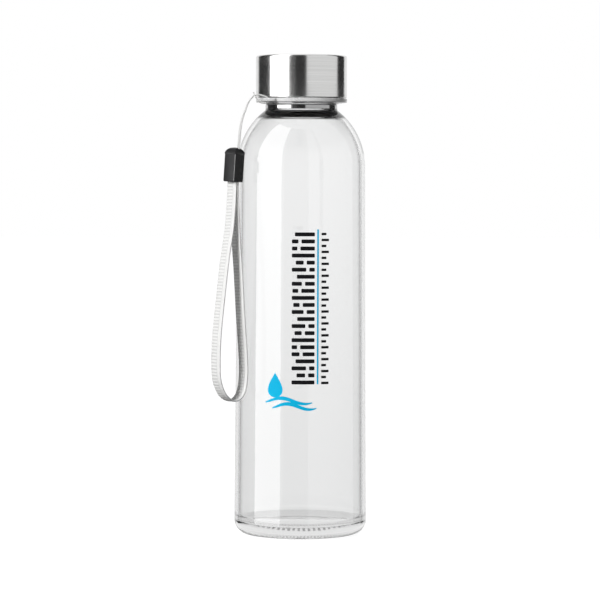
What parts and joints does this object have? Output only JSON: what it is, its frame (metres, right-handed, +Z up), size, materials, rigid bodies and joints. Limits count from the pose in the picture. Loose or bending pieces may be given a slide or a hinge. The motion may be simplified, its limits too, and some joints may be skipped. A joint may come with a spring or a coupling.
{
  "type": "glass water bottle",
  "caption": "Round clear glass bottle with a steel screw cap, a clear neck ring and a hanging wrist strap of cord and flat webbing.",
  "frame": {"origin": "middle of the ring that the bottle stands on", "axes": "+Z up along the bottle's axis, -Y towards the printed front, -X towards the side where the strap hangs"},
  "size_m": [0.0729, 0.0647, 0.2261],
  "materials": {
    "clear_glass": "clear polished glass",
    "brushed_steel": "fine brushing round the side",
    "white_liner": "moulded satin",
    "silicone": "matt translucent",
    "clear_plastic": "clear moulded",
    "cord_nylon": "translucent monofilament",
    "black_plastic": "moulded satin",
    "tinned_steel": "folded tinned sheet",
    "white_webbing": "flat ribbed weave"
  },
  "bodies": {
    "bottle": {"glass_bottle": "clear_glass"},
    "seal": {"cap_seal": "silicone"},
    "cap": {"cap_shell": "brushed_steel", "cap_insert": "white_liner"},
    "ring": {"strap_ring": "clear_plastic"},
    "strap": {"strap_cord": "cord_nylon", "clasp_sleeve": "black_plastic", "clasp_crimp": "tinned_steel", "strap_webbing": "white_webbing"}
  },
  "joints": [
    {"name": "cap_lift", "type": "slide", "parent": "bottle", "child": "seal", "axis": [0, 0, 1], "range_m": [0, 0.0169]},
    {"name": "cap_turn", "type": "hinge", "parent": "seal", "child": "cap", "pos_m": [0, 0, 0.2063], "axis": [0, 0, 1], "range_deg": [0, 1440]},
    {"name": "ring_turn", "type": "hinge", "parent": "bottle", "child": "ring", "pos_m": [0, 0, 0.2041], "axis": [0, 0, 1], "continuous": true},
    {"name": "strap_swing", "type": "hinge", "parent": "ring", "child": "strap", "pos_m": [-0.01775, -0.0174, 0.205], "axis": [0, 1, 0], "range_deg": [0, 90]}
  ],
  "couplings": [
    {"joint": "cap_lift", "follows": "cap_turn", "m_per_rad": 0.00066845}
  ]
}
